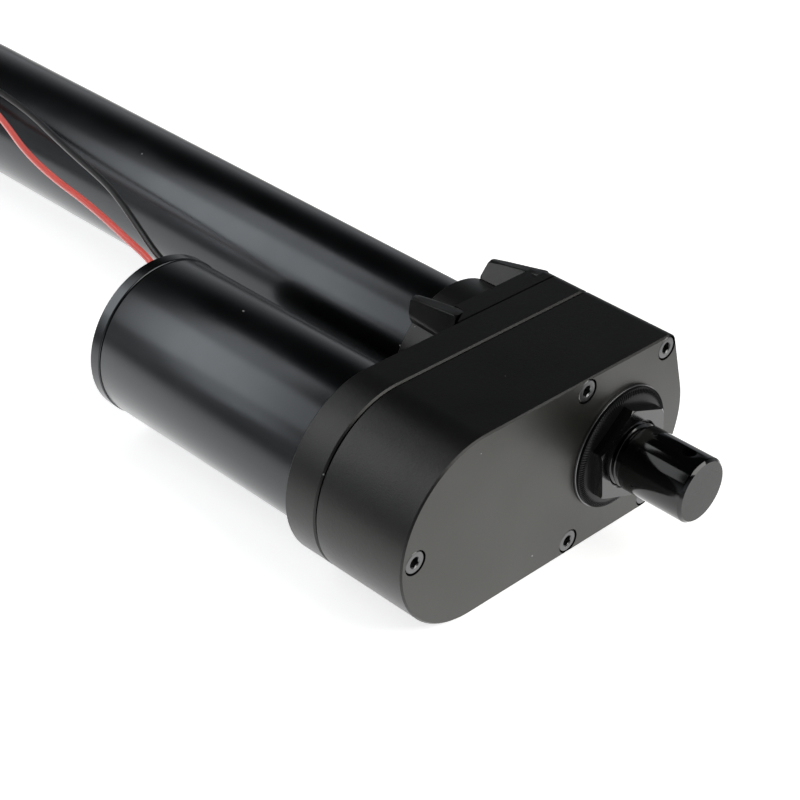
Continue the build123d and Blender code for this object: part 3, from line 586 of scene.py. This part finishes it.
# %% Materials from one recipe
mottle_seen = (0.3, 0.7)
mottle_change = 0.15
bump_distance = 0.0003
coat_roughness = 0.08
speck_scale = 120.0
speck_colour = (0.35, 0.35, 0.36, 1)


def use_group(tree, group, **values):
    """Places a group in a material with its own values."""
    node = tree.nodes.new("ShaderNodeGroup")
    node.node_tree = group
    for label, value in values.items():
        node.inputs[label].default_value = value
    return node


def finish(name, colour, roughness, metal=0.0, ior=1.5, grain_scale=2500.0, bump=0.02,
           spread=0.06, specks=0.0, coat=0.0, lathe=0.0, sheen=(1.0, 1.0, 1.0)):
    """A surface with grain or turning marks, mottled gloss and a few specks.

    The sheen colours what it mirrors; specks is the size of a speck in its cell.
    """
    material = bpy.data.materials.new(name)
    material.use_nodes = True
    tree = material.node_tree
    shader = tree.nodes["Principled BSDF"]
    shader.inputs["Metallic"].default_value = metal
    shader.inputs["IOR"].default_value = ior
    shader.inputs["Specular Tint"].default_value = (*sheen, 1)
    shader.inputs["Coat Weight"].default_value = coat
    shader.inputs["Coat Roughness"].default_value = coat_roughness
    texture = use_group(tree, grain, Scale=grain_scale)
    height = texture.outputs["Height"]
    if lathe:
        height = use_group(tree, marks, Scale=lathe).outputs["Height"]
    relief = tree.nodes.new("ShaderNodeBump")
    relief.inputs["Strength"].default_value = bump
    relief.inputs["Distance"].default_value = bump_distance
    tree.links.new(height, relief.inputs["Height"])
    tree.links.new(relief.outputs["Normal"], shader.inputs["Normal"])
    gloss = map_range(tree, texture.outputs["Mottle"], mottle_seen,
                      (roughness - spread / 2, roughness + spread / 2))
    tree.links.new(gloss, shader.inputs["Roughness"])
    tint = tree.nodes.new("ShaderNodeMix")
    tint.data_type = "RGBA"
    tint.inputs["A"].default_value = (*[c * (1 - mottle_change) for c in colour], 1)
    tint.inputs["B"].default_value = (*[min(1.0, c * (1 + mottle_change)) for c in colour], 1)
    tree.links.new(texture.outputs["Mottle"], tint.inputs["Factor"])
    colour_socket = tint.outputs["Result"]
    if specks:
        spots = use_group(tree, dust, Scale=speck_scale, Amount=specks)
        dusted = tree.nodes.new("ShaderNodeMix")
        dusted.data_type = "RGBA"
        dusted.inputs["B"].default_value = speck_colour
        tree.links.new(colour_socket, dusted.inputs["A"])
        tree.links.new(spots.outputs["Mask"], dusted.inputs["Factor"])
        colour_socket = dusted.outputs["Result"]
    tree.links.new(colour_socket, shader.inputs["Base Color"])
    return material


# %% The finishes, and the record's slot that each belongs to
# The sheens tint what each finish mirrors: cool on the satin coat, warm on the cast paint and end
# faces, grey on the rounded edges, which dims them. These tints are painted colour of the
# reflected light.
cast_black = finish("cast_black", (0.003, 0.003, 0.0031), 0.38, grain_scale=1800.0, bump=0.14,
                    specks=0.035, ior=1.42, sheen=(1.0, 0.995, 0.97))
# The end face's finish is smoother than the cast sides; its lighter, warmer colour and warmer
# sheen are painted light from the front lamp
face_black = finish("face_black", (0.010, 0.010, 0.0084), 0.36, grain_scale=2600.0, bump=0.06,
                    specks=0.03, ior=1.49, sheen=(1.0, 0.985, 0.92))
satin_black = finish("satin_black", (0.001, 0.0011, 0.0013), 0.23, grain_scale=700.0, bump=0.02,
                     specks=0.035, ior=1.55, sheen=(0.90, 0.95, 1.0))
# The rounded edges' finish is a little lighter than the paint, a painted highlight along the
# edges, and its grey sheen dims what they mirror
edge_highlight_black = finish("edge_highlight_black", (0.008, 0.008, 0.008), 0.36, grain_scale=1200.0, bump=0.06,
                    ior=1.46, sheen=(0.6, 0.6, 0.6))
plated_black = finish("plated_black", (0.001, 0.001, 0.0012), 0.10, grain_scale=500.0,
                      bump=0.01, ior=1.5, spread=0.04)
end_black = finish("end_black", (0.003, 0.003, 0.003), 0.26, grain_scale=1500.0, bump=0.03,
                   ior=1.33, sheen=(1.0, 0.995, 0.97))
nut_black = finish("nut_black", (0.003, 0.003, 0.0032), 0.14, grain_scale=500.0, bump=0.01,
                   ior=1.6, spread=0.04)
washer_zinc = finish("washer_zinc", (0.19, 0.19, 0.195), 0.34, metal=1.0, grain_scale=1500.0,
                     bump=0.03)
# The flange's finish mirrors far less than the hexagon's, so the flange stays dark where it
# mirrors the dark stud and the shadow: painted shade
flange_shaded_black = finish("flange_shaded_black", (0.004, 0.004, 0.0045), 0.30, grain_scale=1800.0, bump=0.03,
                     ior=1.22, spread=0.04)
screw_black = finish("screw_black", (0.12, 0.12, 0.122), 0.33, metal=1.0, grain_scale=3000.0,
                     bump=0.05)
ground_steel = finish("ground_steel", (0.62, 0.62, 0.63), 0.18, metal=1.0, lathe=1200.0,
                      bump=0.08)
machined_steel = finish("machined_steel", (0.5, 0.5, 0.51), 0.3, metal=1.0, grain_scale=900.0,
                        bump=0.08)
gear_steel = finish("gear_steel", (0.33, 0.33, 0.34), 0.35, metal=1.0, grain_scale=1500.0,
                    bump=0.1)
core_sheets = finish("core_sheets", (0.22, 0.23, 0.26), 0.4, metal=1.0, lathe=2000.0, bump=0.5)
bush_bronze = finish("bush_bronze", (0.45, 0.27, 0.11), 0.38, metal=1.0, grain_scale=4000.0,
                     bump=0.2)
ferrite = finish("ferrite", (0.045, 0.045, 0.05), 0.6, grain_scale=3000.0, bump=0.2)
copper_wire = finish("copper_wire", (0.5, 0.17, 0.06), 0.3, metal=1.0, lathe=1500.0, bump=0.6)
copper_bar = finish("copper_bar", (0.62, 0.27, 0.13), 0.28, metal=1.0, lathe=1500.0, bump=0.2)
carbon = finish("carbon", (0.025, 0.025, 0.026), 0.5, grain_scale=3000.0, bump=0.2)
board = finish("board", (0.05, 0.08, 0.04), 0.5, grain_scale=2500.0, bump=0.1)
natural_plastic = finish("natural_plastic", (0.7, 0.67, 0.6), 0.4, grain_scale=1200.0, bump=0.05)
black_plastic = finish("black_plastic", (0.013, 0.013, 0.014), 0.42, grain_scale=2200.0,
                       bump=0.08)
soft_rubber = finish("soft_rubber", (0.008, 0.008, 0.008), 0.6, grain_scale=2500.0, bump=0.12)
red_sleeve = finish("red_sleeve", (0.98, 0.135, 0.11), 0.30, grain_scale=1500.0, bump=0.04,
                    coat=0.15)
black_sleeve = finish("black_sleeve", (0.006, 0.006, 0.0065), 0.42, grain_scale=1500.0, bump=0.04)
tinned = finish("tinned", (0.65, 0.63, 0.6), 0.3, metal=1.0, grain_scale=2500.0, bump=0.3)
slot_finish = {
    "black_steel": plated_black, "housing_paint": cast_black, "motor_paint": satin_black,
    "tube_paint": satin_black, "screw_steel": screw_black, "bright_steel": ground_steel,
    "eye_steel": machined_steel, "gear_steel": gear_steel, "core_steel": core_sheets,
    "bush_bronze": bush_bronze, "magnet_ferrite": ferrite, "copper_wire": copper_wire,
    "copper_bar": copper_bar, "brush_carbon": carbon, "holder_board": board,
    "nut_plastic": natural_plastic, "black_plastic": black_plastic,
    "black_rubber": soft_rubber, "red_insulation": red_sleeve,
    "black_insulation": black_sleeve, "tinned_copper": tinned,
}
node_slot = {row["node"]: row["material_slot"] for row in frame["record"]["subparts"]}


def clothe(piece, material):
    """Gives a piece one material."""
    piece.data.materials.clear()
    piece.data.materials.append(material)


for name, node in nodes.items():
    node.material_slots[0].material = slot_finish[node_slot[name]]
clothe(red_wire, red_sleeve)
clothe(black_wire, black_sleeve)
print("finishes:", len(bpy.data.materials))

# %% [markdown]
# ## The gearbox
# Both halves are cast and painted. Their CAD solids have the real outline, so copies of them get
# rounded edges. The mould leaves the long outer edges of the base's four ears rounder than the
# rest. They are picked by where they lie and how they run: along the stroke, behind the ledge,
# and bent outwards.

# %% Rounding the ears
ears_from_y, ears_from_z = 70.0, 19.7
ears_x = (11.5, 21.0)
ear_edge_length = 8.0
runs_along = 0.96
bent_by = radians(25)


def round_ears(piece, width):
    """Rounds the long outer edges of the four ears."""
    mesh = piece.data
    select_only(piece)
    bpy.ops.object.mode_set(mode="EDIT")
    bpy.ops.mesh.select_mode(type="EDGE")
    bpy.ops.mesh.select_all(action="DESELECT")
    bpy.ops.object.mode_set(mode="OBJECT")
    sides = {}
    for face in mesh.polygons:
        for key in face.edge_keys:
            sides.setdefault(key, []).append(face)
    count = 0
    for edge in mesh.edges:
        pair = sides.get(edge.key, [])
        first, second = (mesh.vertices[index].co / MM for index in edge.vertices)
        line = second - first
        on_ear = (min(first.y, second.y) > ears_from_y
                  and min(abs(first.z), abs(second.z)) > ears_from_z
                  and ears_x[0] < abs(first.x) < ears_x[1])
        runs = abs(line.normalized().y) > runs_along and line.length > ear_edge_length
        if len(pair) != 2 or not (on_ear and runs):
            continue
        outward = (pair[1].center - pair[0].center).dot(pair[0].normal) < 0
        if outward and pair[0].normal.angle(pair[1].normal) > bent_by:
            edge.select = True
            count += 1
    bpy.ops.object.mode_set(mode="EDIT")
    bpy.ops.mesh.bevel(offset=width * MM, segments=4, affect="EDGES")
    bpy.ops.object.mode_set(mode="OBJECT")
    print("ear edges rounded", count)


# %% [markdown]
# The end face of the rear half is smoother than its sides and mirrors the floor, so that face and
# the first ring of its rounding get a finish of their own. Its colour is also lighter and warmer
# than the sides', and its sheen warmer: painted light where the front lamp falls on it.

# %% Gearbox halves
end_face_y = 24.0
end_face_slack = 0.2
faces_back = -0.9

# The second finish, on the rounded edges, is a painted highlight
housing = dress("gear_housing", 0.35, 2, finishes=(cast_black, edge_highlight_black, face_black))
for face in housing.data.polygons:
    at_end = abs(face.center.y / MM - end_face_y) < end_face_slack
    if at_end and face.normal.y < faces_back:
        face.material_index = 2
base = dress("gear_base", 0, finishes=(cast_black, edge_highlight_black))
round_ears(base, 0.9)
round_edges(base, 0.4, 3, 25, 1)
flatten(base)
print("gearbox faces", len(housing.data.polygons), len(base.data.polygons))

# %% [markdown]
# ## The tube and the motor
# These are plain turned parts with a smooth satin coat. What makes them read as real is a clean
# curve, the soft band of light and the small steps at their ends.

# %% Tube
tube_profile = [(73.6, 18.05), (73.6, 20.35), (366.0, 20.35), (366.0, 18.05)]
tube = turn("tube", soften(tube_profile, 0.4, closed=True), corners=128, closed=True)
clothe(tube, satin_black)
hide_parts("outer_tube")
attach(tube, "body")

# %% Motor can and end cap
motor_x = -58.875
can_profile = [(67.6, 5.0), (67.6, 25.0), (150.1, 25.0), (150.1, 22.35), (70.1, 22.35),
               (70.1, 5.0)]
can = turn("can", soften(can_profile, 0.2, closed=True), motor_x, corners=160, closed=True)
clothe(can, satin_black)
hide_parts("motor_can")
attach(can, "body")

cap = dress("motor_end_cap", 0.12, 2, 30)
drill(cap, 153.9, 156.0, 20.6, motor_x, corners=128)
button = turn("cap_button", soften([(153.7, 8.2), (154.4, 8.2), (154.4, 4.0), (154.1, 3.4)], 0.15),
              motor_x, corners=64)
cap = join([cap, button], "motor_end_cap_finished")
clothe(cap, satin_black)
smooth(cap, 30)

grommet = dress("lead_grommet", 0.35, 3, 40)
clothe(grommet, soft_rubber)
print("tube and motor done")

# %% [markdown]
# ## The rear stud and its nut
# The stud is bright black plated steel with a small chamfer and a cross hole. Its flat end is
# duller, so it has a finish of its own. A few crests of its thread show between the smooth part
# and the nut.

# %% Stud
stud_end_y = -5.8
faces_straight_back = -0.95
stud_profile = [(-6.0, 9.2), (-5.2, 10.0), (15.6, 10.0), (16.4, 9.0), (29.0, 9.0), (29.0, 12.8),
                (32.2, 12.8)]
stud = turn("stud", soften(stud_profile, 0.25), corners=128)
select_none()
bpy.ops.mesh.primitive_cylinder_add(vertices=48, radius=2 * MM, depth=30 * MM)
cross_hole = bpy.context.object
settle(cross_hole)
carve(stud, cross_hole)
round_edges(stud, 0.2, 2, 50)
smooth(stud)
clothe(stud, plated_black)
stud.data.materials.append(end_black)
for face in stud.data.polygons:
    if face.normal.y < faces_straight_back and face.center.y < stud_end_y * MM:
        face.material_index = 1
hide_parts("rear_stud")
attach(stud, "body")

# %% [markdown]
# A thread is one tooth carried round a helix. The tooth starts as a plane whose four corners are
# set to its section; the Screw modifier turns it about the stud and moves it on by one pitch per
# turn.

# %% Thread
pitch = 1.5
turns = 5
thread_from_y = 15.9
select_none()
bpy.ops.mesh.primitive_plane_add(size=1)
thread = bpy.context.object
thread.name = "thread"
tooth = [(0.0, 8.9), (pitch * 0.42, 9.8), (pitch * 0.58, 9.8), (pitch, 8.9)]
for vertex, index in zip(thread.data.vertices, (0, 1, 3, 2)):
    y, radius = tooth[index]
    vertex.co = (radius * MM, (thread_from_y + y) * MM, 0)
helix = thread.modifiers.new("helix", "SCREW")
helix.axis = "Y"
helix.angle = 2 * pi
helix.screw_offset = pitch * MM
helix.iterations = turns
helix.steps = 72
helix.render_steps = 72
helix.use_merge_vertices = True
select_only(thread)
bpy.ops.object.modifier_apply(modifier=helix.name)
bpy.ops.object.mode_set(mode="EDIT")
bpy.ops.mesh.select_all(action="SELECT")
bpy.ops.mesh.normals_make_consistent(inside=False)
bpy.ops.object.mode_set(mode="OBJECT")
smooth(thread)
clothe(thread, plated_black)
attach(thread, "body")
print("stud and thread done")

# %% Washer and lock nut
washer_profile = [(23.2, 9.9), (23.2, 19.1), (24.0, 19.1), (24.0, 9.9)]
washer = turn("washer", soften(washer_profile, 0.15, closed=True), corners=128, closed=True)
clothe(washer, washer_zinc)
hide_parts("stud_washer")
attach(washer, "body")

across_flats = 27.0
hexagon_corner = across_flats / sqrt(3)
nut_turn = 40.0
hexagon = turn("hexagon", [(18.2, hexagon_corner), (22.2, hexagon_corner)], corners=6)
hexagon.rotation_euler = (0, radians(90 - nut_turn), 0)
settle(hexagon)
chamfers = turn("chamfers", [(18.1, 14.8), (18.7, 15.7), (22.4, 15.7)], corners=192)
carve(hexagon, chamfers, "INTERSECT")
bore = turn("bore", [(17.0, 11.7), (18.2, 10.6), (18.9, 9.9), (23.5, 9.9)], corners=128)
carve(hexagon, bore)
round_edges(hexagon, 0.2, 3, 25)
flatten(hexagon)

# %% [markdown]
# The flange's rim is knurled: its ring has two corners for each tooth, and every other one is
# pressed in, more towards the edge, which leaves fine teeth that run outwards.

# %% Knurled flange
teeth = 144
knurl_from, knurl_up_to_y = 16.0, 22.3
knurl_depth, knurl_starts, knurl_grows = 0.16, 15.9, 1.5
knurl_inwards = 0.006
flange_profile = [(21.5, 12.5), (21.62, 15.0), (21.75, 16.6), (21.82, 17.4), (21.92, 18.2),
                  (22.15, 18.62), (22.4, 18.8), (23.2, 18.8), (23.2, 9.9), (21.5, 9.9)]
flange = turn("flange", flange_profile, corners=2 * teeth, closed=True)
for vertex in flange.data.vertices:
    x, y, z = (c / MM for c in vertex.co)
    reach = sqrt(x * x + z * z)
    number = round((atan2(z, x) - pi / 2) / (pi / teeth))
    if number % 2 and knurl_from < reach and y < knurl_up_to_y:
        depth = knurl_depth * min(1.0, (reach - knurl_starts) / knurl_grows)
        vertex.co.y += depth * MM
        vertex.co.x *= 1 - knurl_inwards
        vertex.co.z *= 1 - knurl_inwards
smooth(flange, 25)
# The knurled flange takes the dimmer finish, which is painted shade
clothe(flange, flange_shaded_black)
clothe(hexagon, nut_black)
lock_nut = join([hexagon, flange], "lock_nut")
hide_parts("stud_lock_nut")
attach(lock_nut, "body")
print("nut done")

# %% [markdown]
# ## The housing screws
# Five socket-head screws sit in deep holes, almost level with the end face. Each is turned, then
# a six-sided key hole is cut into its head.

# %% Socket-head screws
screw_places = [(-82.875, 0.0), (-17.5, 25.2), (-17.5, -25.2), (17.5, 25.2), (17.5, -25.2)]
screw_profile = [(24.2, 2.0), (24.2, 3.2), (24.55, 3.5), (28.2, 3.5), (28.2, 2.0), (64.2, 2.0),
                 (64.5, 1.6)]
key_width = 3.0


def socket_screw(x, z):
    """One screw with its key hole; the hole has a small countersink."""
    screw = turn("screw", soften(screw_profile, 0.15), x, z, corners=60)
    drill(screw, 23.0, 26.4, key_width / sqrt(3), x, z, corners=6)
    countersink = turn("countersink", [(24.0, 2.05), (24.6, 1.45)], x, z, corners=48)
    carve(screw, countersink)
    return screw


screws = join([socket_screw(x, z) for x, z in screw_places], "screws")
smooth(screws, 30)
clothe(screws, screw_black)
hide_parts("housing_screws")
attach(screws, "body")
print("screws done")

# %% [markdown]
# ## The front end
# The photograph does not show it. The cap closes the tube round a rubber wiper, and the bright
# rod comes out with an eye whose bronze bush takes a pin.

# %% Front cap, wiper and rod
cap_profile = [(356.0, 20.4), (356.0, 22.8), (370.8, 22.8), (372.0, 21.6), (372.0, 14.6),
               (370.9, 13.9), (370.6, 12.9), (366.0, 12.9), (366.0, 20.4)]
front_cap = turn("front_cap", soften(cap_profile, 0.3, closed=True), corners=128, closed=True)
clothe(front_cap, satin_black)
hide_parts("tube_front_cap")
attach(front_cap, "body")

wiper_profile = [(367.4, 12.56), (367.4, 16.0), (370.6, 16.0), (370.6, 14.0), (371.6, 13.6),
                 (372.8, 12.75), (372.8, 12.56)]
wiper = turn("wiper", soften(wiper_profile, 0.1, closed=True), corners=96, closed=True)
clothe(wiper, soft_rubber)
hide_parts("wiper_seal")
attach(wiper, "body")

rod_profile = [(94.0, 10.0), (94.0, 12.5), (378.0, 12.5), (378.0, 10.0)]
rod = turn("rod", soften(rod_profile, 0.4, closed=True), corners=128, closed=True)
clothe(rod, ground_steel)
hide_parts("extension_tube")
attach(rod, "rod")

eye = dress("rod_eye", 0.6, 3, 50, "rod")
clothe(eye, machined_steel)
eye_bush = dress("rod_eye_bush", 0.35, 2, 50, "rod")
clothe(eye_bush, bush_bronze)
print("front end done")

# %% [markdown]
# ## The leads' ends
# The wires are bare for their last few millimetres. Their strands are twisted and tinned: six
# strands wind round a straight one. A plastic tie holds both wires to the tube.

# %% Bare strands
strand_radius = 0.24
twist_radius = 0.47
tip_length = 7.0


def strand(curve, start, direction, side, other, phase, radius):
    """One strand that winds once round the line from start along the direction."""
    spline = curve.splines.new("NURBS")
    steps = 12
    spline.points.add(steps)
    for index, point in enumerate(spline.points):
        t = index / steps
        angle = phase + 2 * pi * t
        place = (start + direction * tip_length * t
                 + side * radius * cos(angle) + other * radius * sin(angle))
        point.co = (*(place * MM), 1)
        point.radius = MM
    spline.order_u = 3
    spline.use_endpoint_u = True


tips = bpy.data.curves.new("bare_strands", "CURVE")
tips.dimensions = "3D"
tips.resolution_u = 6
tips.bevel_depth = strand_radius
tips.bevel_resolution = 3
tips.use_fill_caps = True
for route in (red_route, black_route):
    end = Vector(route[-1])
    direction = (end - Vector(route[-2])).normalized()
    side = direction.cross(Vector((0, 0, 1))).normalized()
    other = direction.cross(side)
    strand(tips, end, direction, side, other, 0, 0)
    for number in range(6):
        strand(tips, end, direction, side, other, 2 * pi * number / 6, twist_radius)
bare_strands = bpy.data.objects.new("bare_strands", tips)
scene.collection.objects.link(bare_strands)
clothe(bare_strands, tinned)
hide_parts("lead_tips")
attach(bare_strands, "body")

tie = dress("lead_tie", 0.25, 2, 40)
clothe(tie, black_plastic)
print("strands and tie done")
